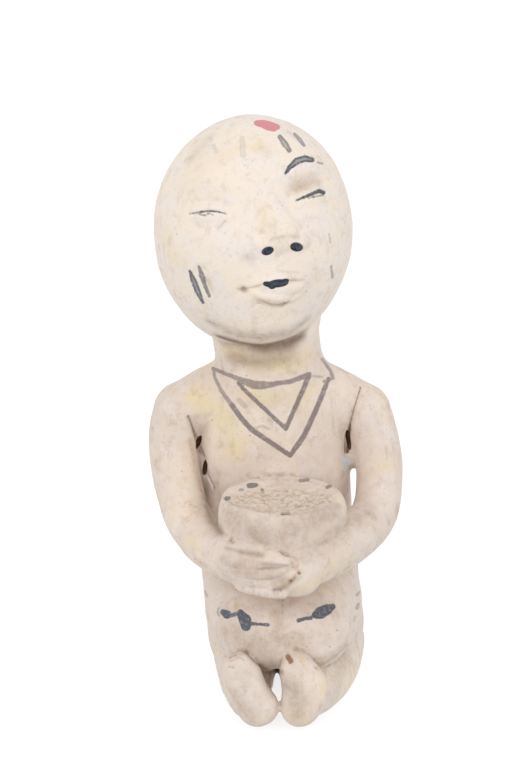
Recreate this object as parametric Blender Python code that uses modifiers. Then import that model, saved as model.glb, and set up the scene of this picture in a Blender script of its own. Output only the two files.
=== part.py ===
import math

import bmesh
import bpy
import numpy as np
from mathutils import Euler, Matrix, Vector
from mathutils.bvhtree import BVHTree

# Height of the whole figure. Every other size is a share of it, counted in 165ths.
HEIGHT = 0.165
SHARE = HEIGHT / 165

# Fineness of the fused clay skin, and the number of faces it is thinned to.
GRAIN = 0.62
SKIN_FACES = 8600

# Passes of smoothing over the whole skin, then over the plain broad parts only.
FINE_PASSES = 4
BROAD_PASSES = 60

# Points closer than this, in 165ths of the height, are one point.
SAME_POINT = 0.0001

# The head is an egg, and the face is laid out on a plane that leans back by FACE_LEAN.
HEAD_CENTRE = (-6.6, -1.0, 132.3)
HEAD_RADII = (27.7, 27.2, 32.8)
FACE_LEAN = math.radians(20)

# The trunk is flatter front to back than it is wide.
TRUNK_FLATNESS = 0.71

# Bowl held against the belly.
BOWL_CENTRE = (1.6, -28.0, 64.2)
BOWL_WIDTH = 36.0
BOWL_DEPTH = 32.4
BOWL_HEIGHT = 25.0
DISH_DEPTH = 1.0
RIM_WIDTH = 2.4

# The feet stand nearly upright with their soles to the front.
SOLE_FRONT = -45.4
SOLE_EDGE = 3.2
FOOT_THICKNESS = 7.4
FOOT_LEAN = math.radians(-4)
# Outlines of the soles, across and up, clockwise from the toes.
LEFT_SOLE = [(-10.6, 22.2), (-6.2, 19.8), (-3.2, 13.6), (0.5, 5.4), (-3.2, 0.9)]
LEFT_SOLE += [(-9.0, 1.8), (-12.0, 8.8), (-15.0, 15.0), (-13.8, 20.2)]
RIGHT_SOLE = [(5.6, 22.4), (9.8, 19.9), (13.8, 13.8), (13.0, 6.0), (7.4, 0.6)]
RIGHT_SOLE += [(2.2, 2.6), (1.5, 11.0), (1.9, 20.2)]

# Four fingers: height at the knuckle, height at the tip, and how far across the tip reaches.
FINGERS = [(52.4, 51.4, 3.6), (49.0, 48.0, 4.8), (45.7, 44.9, 3.8), (43.0, 42.4, 1.4)]

# Worked places of the face: across, up, half width, half height, turn in degrees, and how far out or in.
FACE_RELIEF = [
    (-12.0, -7.5, 9.0, 8.0, 0, 0.9),
    (18.5, -6.0, 7.5, 8.0, 0, 0.8),
    (6.3, -15.5, 10.5, 8.0, 4, 1.4),
    (3.6, -25.8, 8.5, 5.0, 0, 2.0),
    (5.6, -22.6, 6.5, 1.8, 2, -0.5),
    (-10.5, 12.8, 9.0, 3.4, 0, 0.6),
    (13.0, 15.8, 7.0, 2.6, 14, 0.8),
    (-10.0, 6.6, 8.0, 3.8, 0, -1.2),
    (14.0, 11.2, 6.4, 3.4, 14, -2.1),
    (-12.2, 4.6, 5.4, 2.5, 2, 0.9),
    (16.2, 9.4, 4.6, 2.2, 16, 1.1),
    (-10.0, 1.2, 5.5, 1.4, 20, -0.25),
]

# Half lengths of the openings in the face.
MOUTH_HALF = (3.5, 1.3)
NOSTRIL_HALF = (1.8, 1.15)
HOLE_DEPTH = 4.0
EYE_SLIT = 0.6
HOLES = [
    ("mouth", 6.4, -15.2, MOUTH_HALF, -4),
    ("left_nostril", 4.2, -5.9, NOSTRIL_HALF, -20),
    ("right_nostril", 12.2, -4.8, NOSTRIL_HALF, 12),
]
SLITS = {
    "left_eye": [(-16.6, 3.8), (-12.6, 4.8), (-7.9, 4.1)],
    "right_eye": [(12.6, 8.5), (16.2, 9.8), (19.6, 10.8)],
}
# Middle and half sizes of the gap between the legs.
LEG_GAP = ((0.3, -19.5, 6.6), (1.9, 22.5, 9.0))


def clear_scene():
    for old in list(bpy.data.objects):
        bpy.data.objects.remove(old, do_unlink=True)


def evaluated(holder):
    """The mesh that the object shows, its modifiers included. The object is removed."""
    bpy.context.scene.collection.objects.link(holder)
    bpy.context.view_layer.update()
    graph = bpy.context.evaluated_depsgraph_get()
    mesh = bpy.data.meshes.new_from_object(holder.evaluated_get(graph))
    bpy.data.objects.remove(holder, do_unlink=True)
    return mesh


def on_face(across, up, out=0.0):
    """The point of the head seen at this place of the leaning face plane, moved out along the surface normal."""
    radii = np.array(HEAD_RADII)
    start = np.array([across, up * math.sin(FACE_LEAN), up * math.cos(FACE_LEAN)])
    inward = np.array([0.0, math.cos(FACE_LEAN), -math.sin(FACE_LEAN)])
    a = ((inward / radii) ** 2).sum()
    b = 2 * (start * inward / radii**2).sum()
    c = ((start / radii) ** 2).sum() - 1
    reach = (-b - math.sqrt(max(b * b - 4 * a * c, 0.0))) / (2 * a)
    point = start + reach * inward
    normal = point / radii**2
    normal /= np.linalg.norm(normal)
    return tuple(np.array(HEAD_CENTRE) + point + out * normal)


def add_to(clay, shape):
    """Joins a shape, counted in 165ths of the height, to the clay, which is in metres."""
    shape.transform(Matrix.Scale(SHARE, 4))
    mesh = bpy.data.meshes.new("shape")
    shape.to_mesh(mesh)
    shape.free()
    clay.from_mesh(mesh)
    bpy.data.meshes.remove(mesh)


def blob(clay, centre, radii, turn=(0, 0, 0), sides=40):
    """An ellipsoid, turned by degrees about X, Y and Z."""
    ball = bmesh.new()
    bmesh.ops.create_uvsphere(ball, u_segments=sides, v_segments=sides // 2, radius=1)
    rotation = Euler([math.radians(angle) for angle in turn])
    ball.transform(Matrix.LocRotScale(Vector(centre), rotation, Vector(radii)))
    add_to(clay, ball)


def curve_shape(curve):
    """The solid that a curve with thickness makes. The curve is removed."""
    mesh = evaluated(bpy.data.objects.new(curve.name, curve))
    bpy.data.curves.remove(curve)
    shape = bmesh.new()
    shape.from_mesh(mesh)
    bpy.data.meshes.remove(mesh)
    bmesh.ops.remove_doubles(shape, verts=shape.verts, dist=SAME_POINT)
    return shape


def tube(points, roundness=5, steps=10):
    """A smooth tube through points of (x, y, z, radius), with flat ends."""
    curve = bpy.data.curves.new("tube", "CURVE")
    curve.dimensions = "3D"
    curve.bevel_depth = 1.0
    curve.bevel_resolution = roundness
    curve.use_fill_caps = True
    curve.resolution_u = steps
    spline = curve.splines.new("NURBS")
    spline.points.add(len(points) - 1)
    for control, (x, y, z, radius) in zip(spline.points, points):
        control.co = (x, y, z, 1)
        control.radius = radius
    spline.order_u = min(4, len(points))
    spline.use_endpoint_u = True
    return curve_shape(curve)


def limb(clay, points, flatness=1.0):
    """A tube with rounded ends, pressed flatter front to back by the flatness."""
    shape = tube(points)
    middle = Matrix.Translation((0, points[0][1], 0))
    shape.transform(middle @ Matrix.Diagonal((1, flatness, 1, 1)) @ middle.inverted())
    add_to(clay, shape)
    for x, y, z, radius in (points[0], points[-1]):
        blob(clay, (x, y, z), (radius, radius * flatness, radius))


def shape_head(clay):
    blob(clay, HEAD_CENTRE, HEAD_RADII)
    # Nose: bridge, tip and wings.
    limb(clay, [(*on_face(1.8, 11.0, -6.6), 6.2), (*on_face(5.0, 4.6, -5.0), 6.3), (*on_face(8.3, -1.8, -2.4), 5.3)])
    blob(clay, on_face(3.2, -4.4, -2.5), (5.0, 4.1, 3.7))
    blob(clay, on_face(12.4, -3.0, -2.3), (4.2, 4.0, 3.7))
    # Lips on a low swelling.
    blob(clay, on_face(6.4, -15.6, -1.9), (7.8, 2.9, 3.8))
    upper = [(*on_face(-1.8, -16.0, -0.9), 0.8), (*on_face(2.6, -14.0, 0.2), 1.0), (*on_face(7.6, -12.8, 0.5), 1.15)]
    upper += [(*on_face(12.0, -13.0, 0.2), 1.0), (*on_face(14.0, -14.4, -0.9), 0.8)]
    limb(clay, upper)
    lower = [(*on_face(-0.8, -16.8, -0.9), 0.9), (*on_face(3.4, -18.0, 0.2), 1.6), (*on_face(8.0, -18.4, 0.5), 1.9)]
    lower += [(*on_face(12.0, -17.6, 0.2), 1.6), (*on_face(13.9, -16.0, -0.9), 0.9)]
    limb(clay, lower)


def shape_body(clay):
    # Neck.
    limb(clay, [(-4.8, 1.0, 114.0, 17.4), (-3.0, 1.6, 105.0, 15.2), (-2.6, 2.8, 97.0, 14.0), (-1.4, 3.0, 88.0, 16.0)])
    blob(clay, (-0.6, 1.0, 106.5), (13.2, 12.5, 9.0))
    # Shoulders.
    left = [(-23.6, 1.5, 79.6, 8.4), (-14.0, 2.0, 84.8, 9.4), (-1.0, 2.0, 87.0, 11.0)]
    right = [(11.5, 2.0, 84.4, 9.2), (21.0, 1.5, 79.6, 8.2)]
    limb(clay, left + right)
    # Chest, waist and belly.
    trunk = [(2.4, 2.0, 12.0, 22.2), (1.6, 2.0, 24.0, 22.7), (0.4, 2.0, 38.0, 22.4), (-0.5, 2.0, 52.0, 21.6)]
    trunk += [(-0.7, 2.0, 66.0, 21.9), (-0.9, 2.0, 79.0, 21.9), (-1.3, 2.0, 90.0, 19.5), (-2.0, 2.0, 97.0, 9.0)]
    limb(clay, trunk, TRUNK_FLATNESS)
    blob(clay, (1.0, -10.0, 39.0), (17.0, 17.0, 13.0))
    blob(clay, (21.6, 1.0, 68.5), (3.4, 4.5, 7.5))


def shape_lap(clay):
    # The thighs are pressed into one rounded mass.
    blob(clay, (-4.6, -10.0, 25.0), (15.8, 30.0, 17.6))
    blob(clay, (8.2, -10.0, 25.0), (16.2, 30.0, 17.6))
    blob(clay, (2.0, -11.0, 24.5), (13.0, 29.4, 16.2))
    # Seat.
    blob(clay, (3.2, 2.0, 14.0), (22.0, 21.0, 24.0))
    blob(clay, (1.6, 4.0, 30.0), (21.4, 17.5, 26.0))
    # Legs along the floor.
    limb(clay, [(-8.0, 6.0, 6.0, 10.4), (-8.6, -12.0, 6.0, 9.2), (-8.4, -28.0, 6.5, 7.4), (-7.6, -38.0, 7.0, 5.6)])
    limb(clay, [(13.4, 6.0, 6.0, 12.2), (13.8, -8.0, 6.0, 11.2), (12.4, -22.0, 6.0, 9.8), (8.2, -38.0, 7.0, 5.8)])


def shape_feet(clay):
    """Each foot is a thick sole with rounded edges."""
    stood_up = Matrix.Rotation(math.pi / 2 + FOOT_LEAN, 4, "X")
    placed = Matrix.Translation((0, SOLE_FRONT + FOOT_THICKNESS / 2, 0)) @ stood_up
    for outline in (LEFT_SOLE, RIGHT_SOLE):
        curve = bpy.data.curves.new("sole", "CURVE")
        curve.dimensions = "2D"
        curve.fill_mode = "BOTH"
        curve.extrude = FOOT_THICKNESS / 2 - SOLE_EDGE
        curve.bevel_depth = SOLE_EDGE
        curve.bevel_resolution = 4
        curve.offset = -SOLE_EDGE
        spline = curve.splines.new("BEZIER")
        spline.bezier_points.add(len(outline) - 1)
        spline.use_cyclic_u = True
        for point, (x, z) in zip(spline.bezier_points, outline):
            point.co = (x, z, 0)
            point.handle_left_type = "AUTO"
            point.handle_right_type = "AUTO"
        foot = curve_shape(curve)
        foot.transform(placed)
        add_to(clay, foot)


def shape_bowl(clay):
    """The profile is half a section of the bowl, turned about its axis and then flattened a little front to back."""
    half = BOWL_WIDTH / 2
    profile = [
        (0.0, -BOWL_HEIGHT),
        (half * 0.45, -BOWL_HEIGHT),
        (half * 0.70, -BOWL_HEIGHT * 0.84),
        (half * 0.89, -BOWL_HEIGHT * 0.58),
        (half * 0.985, -BOWL_HEIGHT * 0.38),
        (half, -BOWL_HEIGHT * 0.26),
        (half * 0.99, -BOWL_HEIGHT * 0.15),
        (half * 0.955, -BOWL_HEIGHT * 0.06),
        (half * 0.92, -BOWL_HEIGHT * 0.01),
        (half - RIM_WIDTH, 0.0),
        (half * 0.6, -DISH_DEPTH * 0.8),
        (0.0, -DISH_DEPTH),
    ]
    bowl = bmesh.new()
    line = [bowl.verts.new((radius, 0, z)) for radius, z in profile]
    edges = [bowl.edges.new(pair) for pair in zip(line, line[1:])]
    bmesh.ops.spin(bowl, geom=line + edges, axis=(0, 0, 1), cent=(0, 0, 0), angle=math.tau, steps=48)
    bmesh.ops.remove_doubles(bowl, verts=bowl.verts, dist=SAME_POINT)
    bowl.transform(Matrix.Translation(BOWL_CENTRE) @ Matrix.Diagonal((1, BOWL_DEPTH / BOWL_WIDTH, 1, 1)))
    add_to(clay, bowl)


def shape_arms(clay):
    left = [(-26.4, 1.0, 78.6, 8.4), (-29.7, 0.0, 71.5, 7.2), (-28.3, -3.5, 62.0, 7.0), (-26.6, -9.0, 54.0, 6.8)]
    left += [(-23.8, -17.0, 49.8, 6.7), (-17.4, -29.0, 47.8, 6.6), (-10.5, -38.4, 49.0, 6.8)]
    limb(clay, left)
    right = [(24.2, 1.0, 78.0, 8.3), (28.0, 0.0, 71.5, 7.1), (29.4, -3.0, 62.5, 6.5), (28.8, -8.0, 54.5, 6.5)]
    right += [(27.0, -14.0, 50.8, 6.6), (20.4, -25.0, 50.0, 7.4), (13.4, -34.0, 49.8, 8.0), (7.0, -39.6, 48.4, 7.2)]
    limb(clay, right)


def shape_hands(clay):
    # The hand from the right side of the view lies underneath.
    blob(clay, (3.6, -42.6, 46.4), (8.6, 4.4, 6.2), (0, 10, 0))
    # The other hand lies over it, with the fingers pressed side by side.
    blob(clay, (-6.6, -41.4, 48.4), (7.4, 5.2, 6.8))
    for start, end, reach in FINGERS:
        middle = (start + end) / 2
        limb(clay, [(-10.0, -41.8, start, 1.9), (-4.0, -45.8, middle, 2.05), (reach, -46.3, end, 1.65)])
    # Thumb, bent down at the tip.
    limb(clay, [(-11.6, -40.4, 53.4, 1.9), (-6.4, -43.2, 55.2, 1.9), (-2.2, -44.8, 54.8, 1.8), (0.6, -46.0, 52.6, 1.4)])


def broadness(point):
    """1 on the plain broad parts and the back, falling to 0 on the face, the hands, the bowl and the feet."""
    x, y, z = point / SHARE
    if y > 6:
        return 1.0
    if z > 100:
        return min(1.0, max(0.0, (y + 8.0) / 14.0))
    from_bowl = math.dist((x, y, z), (BOWL_CENTRE[0], BOWL_CENTRE[1], BOWL_CENTRE[2] - 4.0))
    if from_bowl < BOWL_WIDTH / 2 + 2.0:
        return 0.0
    behind = min(0.3, max(0.0, (y + 26.0) / 26.0))
    return max(behind, (y + 3.0) / 9.0) * min(1.0, max(0.0, (z - 8.0) / 6.0))


def smoothed(mesh, passes, weigh=None):
    """The mesh of a smoothing pass, weighed point by point if a function is given."""
    holder = bpy.data.objects.new("smoothed", mesh)
    smooth = holder.modifiers.new("smooth", "SMOOTH")
    smooth.factor = 0.5
    smooth.iterations = passes
    if weigh:
        group = holder.vertex_groups.new(name="weight")
        for vertex in mesh.vertices:
            group.add([vertex.index], weigh(vertex.co), "REPLACE")
        smooth.vertex_group = group.name
    result = evaluated(holder)
    bpy.data.meshes.remove(mesh)
    return result


def fused(clay):
    """One skin round all the shapes, with the joints worked smooth."""
    mesh = bpy.data.meshes.new("clay")
    bmesh.ops.recalc_face_normals(clay, faces=clay.faces)
    clay.to_mesh(mesh)
    holder = bpy.data.objects.new("clay", mesh)
    skin = holder.modifiers.new("skin", "REMESH")
    skin.mode = "VOXEL"
    skin.voxel_size = GRAIN * SHARE
    result = evaluated(holder)
    bpy.data.meshes.remove(mesh)
    return smoothed(smoothed(result, BROAD_PASSES, broadness), FINE_PASSES)


def work_face(skin):
    """Raises and presses the soft forms of the face along the surface of the head."""
    points = np.empty(len(skin.vertices) * 3)
    skin.vertices.foreach_get("co", points)
    points = points.reshape(-1, 3) / SHARE
    from_centre = points - np.array(HEAD_CENTRE)
    up_axis = np.array([0.0, math.sin(FACE_LEAN), math.cos(FACE_LEAN)])
    front_axis = np.array([0.0, -math.cos(FACE_LEAN), math.sin(FACE_LEAN)])
    across, up, front = from_centre[:, 0], from_centre @ up_axis, from_centre @ front_axis
    outward = from_centre / np.array(HEAD_RADII) ** 2
    outward /= np.linalg.norm(outward, axis=1, keepdims=True)
    on_front = np.clip(front / 6.0, 0.0, 1.0)
    for x, y, width, height, turn, lift in FACE_RELIEF:
        angle = math.radians(turn)
        along = ((across - x) * math.cos(angle) + (up - y) * math.sin(angle)) / width
        beside = ((up - y) * math.cos(angle) - (across - x) * math.sin(angle)) / height
        strength = lift * on_front * np.exp(-(along**2 + beside**2))
        points += outward * strength[:, None]
    skin.vertices.foreach_set("co", (points * SHARE).ravel())
    skin.update()


def on_skin(tree, across, up, out):
    """The point of the worked face seen at this place of the leaning face plane, moved out towards the viewer."""
    away = Vector((0.0, -math.cos(FACE_LEAN), math.sin(FACE_LEAN)))
    rise = Vector((0.0, math.sin(FACE_LEAN), math.cos(FACE_LEAN)))
    start = Vector(HEAD_CENTRE) + Vector((across, 0.0, 0.0)) + rise * up + away * 2 * max(HEAD_RADII)
    point = tree.ray_cast(start * SHARE, -away)[0]
    return point / SHARE + away * out


def cutters_of(skin):
    """The tools that open the mouth, nostrils, eyes and the gap between the legs, and the floor under the seat."""
    tree = BVHTree.FromPolygons([v.co for v in skin.vertices], [p.vertices for p in skin.polygons])
    shapes = {}
    for name, across, up, half, turn in HOLES:
        shapes[name] = bmesh.new()
        blob(shapes[name], on_skin(tree, across, up, 0.0), (half[0], HOLE_DEPTH, half[1]), (-20, turn, 0), 14)
    for name, places in SLITS.items():
        shapes[name] = bmesh.new()
        route = [(*on_skin(tree, across, up, 0.1), EYE_SLIT) for across, up in places]
        add_to(shapes[name], tube(route, 1, 4))
    shapes["leg_gap"] = bmesh.new()
    blob(shapes["leg_gap"], *LEG_GAP, sides=20)
    shapes["floor_plane"] = bmesh.new()
    bmesh.ops.create_cube(shapes["floor_plane"], size=HEIGHT)
    shapes["floor_plane"].transform(Matrix.Translation((0, 0, -HEIGHT / 2)))
    cutters = []
    for name, shape in shapes.items():
        bmesh.ops.recalc_face_normals(shape, faces=shape.faces)
        mesh = bpy.data.meshes.new(name)
        shape.to_mesh(mesh)
        shape.free()
        cutters.append(bpy.data.objects.new(name, mesh))
    return cutters


def slip_material():
    """Pale clay slip over an earthenware body."""
    material = bpy.data.materials.new("cream_slip")
    material.use_nodes = True
    shader = material.node_tree.nodes["Principled BSDF"]
    shader.inputs["Base Color"].default_value = (0.73, 0.62, 0.50, 1.0)
    shader.inputs["Roughness"].default_value = 0.75
    shader.inputs["Metallic"].default_value = 0.0
    return material


def main():
    clear_scene()
    clay = bmesh.new()
    for shape in (shape_head, shape_body, shape_lap, shape_feet, shape_bowl, shape_arms, shape_hands):
        shape(clay)
    skin = fused(clay)
    clay.free()
    skin.name = "clay_figure"
    work_face(skin)
    parts = bpy.data.collections.new("rain_god_figure")
    tools = bpy.data.collections.new("cutters")
    tools.hide_render = True
    bpy.context.scene.collection.children.link(parts)
    bpy.context.scene.collection.children.link(tools)
    figure = bpy.data.objects.new("clay_figure", skin)
    figure.data.materials.append(slip_material())
    parts.objects.link(figure)
    thin = figure.modifiers.new("thin", "DECIMATE")
    thin.ratio = min(1.0, SKIN_FACES / (2 * len(skin.polygons)))
    for cutter in cutters_of(skin):
        tools.objects.link(cutter)
        cutter.parent = figure
        cutter.hide_render = True
        cutter.display_type = "WIRE"
        cut = figure.modifiers.new(cutter.name, "BOOLEAN")
        cut.operation = "DIFFERENCE"
        cut.solver = "EXACT"
        cut.object = cutter
    bpy.context.view_layer.update()
    graph = bpy.context.evaluated_depsgraph_get()
    shaped = figure.evaluated_get(graph).to_mesh()
    ends = np.array([vertex.co for vertex in shaped.vertices])
    middle = (ends.min(axis=0) + ends.max(axis=0)) / 2
    figure.evaluated_get(graph).to_mesh_clear()
    figure.location = (-middle[0], -middle[1], 0)


main()
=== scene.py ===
import math

import bmesh
import bpy
import numpy as np
from mathutils import Euler, Matrix, Vector, noise
from mathutils.bvhtree import BVHTree


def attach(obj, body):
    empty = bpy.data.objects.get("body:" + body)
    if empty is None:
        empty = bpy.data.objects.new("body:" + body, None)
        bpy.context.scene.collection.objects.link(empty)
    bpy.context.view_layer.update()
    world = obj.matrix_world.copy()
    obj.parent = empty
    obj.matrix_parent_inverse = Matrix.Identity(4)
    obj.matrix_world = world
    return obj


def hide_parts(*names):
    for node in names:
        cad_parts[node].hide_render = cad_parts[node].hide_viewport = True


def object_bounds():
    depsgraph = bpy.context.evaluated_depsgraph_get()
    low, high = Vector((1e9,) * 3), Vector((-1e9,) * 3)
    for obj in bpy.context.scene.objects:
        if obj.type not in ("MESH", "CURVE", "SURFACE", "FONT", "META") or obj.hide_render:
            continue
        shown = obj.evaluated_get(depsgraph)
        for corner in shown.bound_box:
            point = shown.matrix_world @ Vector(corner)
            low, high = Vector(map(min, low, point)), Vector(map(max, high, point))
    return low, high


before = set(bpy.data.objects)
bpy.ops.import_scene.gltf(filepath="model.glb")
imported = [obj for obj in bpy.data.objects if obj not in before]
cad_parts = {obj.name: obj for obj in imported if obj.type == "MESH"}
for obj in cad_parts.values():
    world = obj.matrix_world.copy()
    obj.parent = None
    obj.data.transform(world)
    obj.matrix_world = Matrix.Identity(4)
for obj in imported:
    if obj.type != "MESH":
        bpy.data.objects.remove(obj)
CAD_LOW, CAD_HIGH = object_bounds()

# The figure's height in its own units, which are close to a millimetre. Every size below is in them.
FIGURE_UNITS = 165
SHARE = (CAD_HIGH.z - CAD_LOW.z) / FIGURE_UNITS

# Fineness of the skin, the distances that it is evened out over, and about how many triangles are kept.
GRAIN = 0.46
FINE_SPREAD = 0.7
SOFT_SPREAD = 1.5
BROAD_SPREAD = 3.4
MOST_TRIANGLES = 186000
# Points of a shape closer than this are one point.
SAME_POINT = 0.001
# Where the nose, on the face plane, and the hand are smoothed further, and how far out.
NOSE_PLACE = (7.4, -0.6)
NOSE_REACH = 11.5
HAND_PLACE = (-6.0, -43.0, 49.0)
HAND_REACH = 15.0

# The head is an egg, and the face is laid out on a plane that leans back by FACE_LEAN.
HEAD_CENTRE = (-6.6, -1.0, 132.3)
HEAD_RADII = (27.7, 27.2, 32.8)
FACE_LEAN = math.radians(20)
TRUNK_FLATNESS = 0.71

# Bowl held against the belly.
BOWL_CENTRE = (1.6, -28.0, 64.2)
BOWL_WIDTH = 36.0
BOWL_DEPTH = 32.4
BOWL_HEIGHT = 25.0
DISH_DEPTH = 1.0
RIM_WIDTH = 2.4

# The feet stand nearly upright with their soles to the front.
SOLE_FRONT = -45.4
SOLE_EDGE = 3.2
FOOT_THICKNESS = 7.4
FOOT_LEAN = math.radians(-4)
# Outlines of the soles, across and up, clockwise from the toes.
LEFT_SOLE = [(-10.6, 22.2), (-6.2, 19.8), (-3.2, 13.6), (0.5, 5.4), (-3.2, 0.9)]
LEFT_SOLE += [(-9.0, 1.8), (-12.0, 8.8), (-15.0, 15.0), (-13.8, 20.2)]
RIGHT_SOLE = [(5.6, 22.4), (9.8, 19.9), (13.8, 13.8), (13.0, 6.0), (7.4, 0.6)]
RIGHT_SOLE += [(2.2, 2.6), (1.5, 11.0), (1.9, 20.2)]

# Four fingers: height at the knuckle, height at the tip, and how far across the tip reaches.
FINGERS = [(52.4, 51.4, 3.6), (49.0, 48.0, 4.8), (45.7, 44.9, 3.8), (43.0, 42.4, 1.4)]

# The plain parts lie behind these places, front to back, and above these heights.
FACE_BACK = -8.0
BELLY_BACK = -3.0
PLAIN_BACK = 6.0
LAP_FRONT = -26.0
LAP_SHARE = 0.3
HEAD_BOTTOM = 100
FLOOR_BAND = (8.0, 14.0)
# The bowl keeps its edges inside a ball round a point this far below its top.
BOWL_MARGIN = 2.0
BOWL_MIDDLE = (0, 0, 4.0)

# The camera looks down on the figure from the front. FOCAL is in pixels of the photograph.
PHOTO_SIZE = (511, 768)
FOCAL = 4270.0
SENSOR = 36.0
CAMERA_RISE = math.radians(20)
CAMERA_DISTANCE = 1200.0
CAMERA_TARGET = (-5.9, 0.0, 86.7)
FORWARD = (0, math.cos(CAMERA_RISE), -math.sin(CAMERA_RISE))
UPWARD = (0, math.sin(CAMERA_RISE), math.cos(CAMERA_RISE))
# Width of a pixel at the middle of the body.
PIXEL = 0.281

# Soft forms of the face: across, up, half width, half height, turn in degrees, and how far out or in.
FACE_RELIEF = [
    (-12.0, -7.5, 9.0, 8.0, 0, 0.9),
    (18.5, -6.0, 7.5, 8.0, 0, 0.8),
    (6.3, -15.5, 10.5, 8.0, 4, 1.4),
    (3.6, -25.8, 8.5, 5.0, 0, 2.0),
    (5.6, -22.6, 6.5, 1.8, 2, -0.5),
    (-10.5, 12.8, 9.0, 3.4, 0, 0.6),
    (13.0, 15.8, 7.0, 2.6, 14, 0.8),
    (-10.0, 6.6, 8.0, 3.8, 0, -1.2),
    (14.0, 11.2, 6.4, 3.4, 14, -2.1),
    (-12.2, 4.6, 5.4, 2.5, 2, 0.9),
    (16.2, 9.4, 4.6, 2.2, 16, 1.1),
    (-10.0, 1.2, 5.5, 1.4, 20, -0.25),
]

# Worked lines, through pixels of the photograph: half width, how far out or in, and the pixels.
FACE_LINES = [
    (0.42, -0.5, [(189, 213.6), (198, 211.8), (208, 210.6), (218, 211.4), (226, 213.8)]),
    (1.5, 0.28, [(195, 207), (207, 205), (219, 206.6)]),
    (1.0, 0.2, [(197, 217.4), (208, 218.6), (219, 217.2)]),
    (1.5, -0.26, [(193, 201), (207, 197.8), (221, 199.5), (231, 205)]),
    (1.3, -0.24, [(199, 227), (209, 230), (218, 228), (225, 221.5), (234, 217)]),
    (0.26, -0.2, [(218, 228.5), (221, 225.5), (225, 221)]),
    (0.42, -0.6, [(297, 199.8), (304, 197.2), (311, 194.4), (318, 191.9), (325, 192.2)]),
    (1.3, 0.35, [(299, 194), (307, 190.4), (317, 187.4)]),
    (0.9, 0.22, [(302, 202), (311, 199.2), (321, 196.2)]),
    (1.5, -0.35, [(288.5, 194), (293, 186), (301, 180), (311, 177.8), (322, 180.5)]),
    (2.2, 0.4, [(283, 188), (289, 177), (300, 169.5), (314, 168.5)]),
    (0.26, -0.13, [(268, 241.5), (274, 238), (280, 239), (286, 236.4), (295, 236), (300, 239)]),
    (0.26, -0.1, [(275, 233.5), (283, 231.8), (292, 232.6)]),
    (1.1, -0.18, [(251, 256), (257, 259.5), (264, 260.5)]),
    (1.1, -0.18, [(309, 246), (305.5, 252), (300, 255.5)]),
    (2.4, -0.3, [(291, 206), (297, 220), (305, 233)]),
    (1.5, -0.2, [(277, 258), (277, 268)]),
    (1.0, 0.2, [(249, 286), (258, 280), (268, 276.3), (279, 274.6), (292, 275.6), (300, 278)]),
    (0.6, -0.5, [(243, 289.5), (252, 288), (263, 285.5)]),
    (0.6, -0.5, [(286, 281.4), (295, 280.2), (303, 281)]),
    (1.4, -0.6, [(259, 303), (270, 306.4), (282, 305.6), (292, 300)]),
    (1.0, -0.6, [(242.5, 290.5), (243.5, 291.5)]),
    (2.2, -0.3, [(239, 262), (235, 275), (239, 288)]),
    (2.4, -0.3, [(312, 270), (313, 284), (306, 298)]),
]
BODY_LINES = [
    (0.45, -0.8, [
        (188.5, 417), (193, 428), (197, 437), (199.5, 448), (204, 458), (205.5, 470), (213, 488),
    ]),
    (0.4, -0.7, [(361, 387), (357, 400), (353, 412), (350, 424), (347, 436), (346, 452)]),
    (0.8, 0.3, [(317, 350), (321, 361), (330, 372)]),
    (0.35, -0.35, [(282.4, 595), (282.4, 613)]),
    (1.2, -0.9, [(317, 667), (335, 657), (347, 645), (355, 631)]),
    (1.6, 0.5, [(322, 655), (338, 646), (348, 634)]),
    (1.0, -0.3, [(250, 534), (262, 542), (274, 549)]),
    (0.5, -0.3, [
        (234, 503), (243, 509.5), (257, 514.5), (275, 515.4), (291, 513.6), (308, 508), (324, 501.5),
    ]),
]
HAND_LINES = [
    (1.2, -0.45, [(240, 551.5), (252, 553), (264, 553)]),
    (0.7, -0.4, [(226, 566), (240, 568.6), (258, 569.5), (276, 568.5), (287, 566.5)]),
    (0.5, -0.28, [(245, 578.6), (256, 579.8), (268, 579.4), (280, 576.8)]),
    (0.5, -0.2, [(250, 587), (262, 588), (274, 586)]),
    (1.0, -0.8, [(230, 539.5), (232, 541.5)]),
    (0.8, -0.6, [(274, 590), (280, 590.5)]),
    (0.5, -0.5, [(299, 573), (299.5, 573.5)]),
    (0.45, -0.4, [(291, 581), (291.5, 581.5)]),
    (0.35, -0.3, [(290, 562), (290.5, 562.5)]),
]
FOOT_LINES = [
    (1.4, 0.35, [(296, 661), (295, 690), (295, 713)]),
    (1.1, -0.8, [(288, 656), (290, 661)]),
    (0.5, -0.55, [(230, 660.5), (237, 656.5)]),
    (0.5, -0.5, [(228, 666.5), (233, 668)]),
    (0.4, -0.45, [(241, 657), (244, 659)]),
    (2.4, -0.3, [(243, 680), (250, 700)]),
]
# Rings pressed into the clay or left round a broken tip: pixel, radius in pixels, half width, out or in.
RINGS = [
    ((259, 315), 10.5, 0.28, -0.14),
    ((299, 573), 3.6, 0.4, 0.2),
    ((291, 581), 3.2, 0.4, 0.18),
]

# Openings: pixel, half width, half height, depth, and turn in degrees.
FACE_OPENINGS = [
    ((278, 283.4), 2.9, 1.1, 4.5, 6),
    ((268, 284.2), 1.4, 0.75, 3.5, -10),
    ((272, 286.6), 1.0, 0.7, 3.5, 0),
    ((285.4, 280.8), 1.0, 0.6, 3.0, 10),
    ((267.5, 251), 1.75, 1.1, 4.0, 24),
    ((296.5, 247), 2.0, 1.25, 4.0, -16),
]
BROKEN_OPENINGS = [
    ((198.5, 441.5), 0.75, 2.3, 2.6, -18),
    ((205.2, 467.5), 0.7, 2.2, 2.6, -8),
    ((348.2, 438), 0.7, 3.9, 3.0, 8),
]
LEG_GAP = ((0.3, -19.5, 6.6), (1.9, 22.5, 9))

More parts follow.
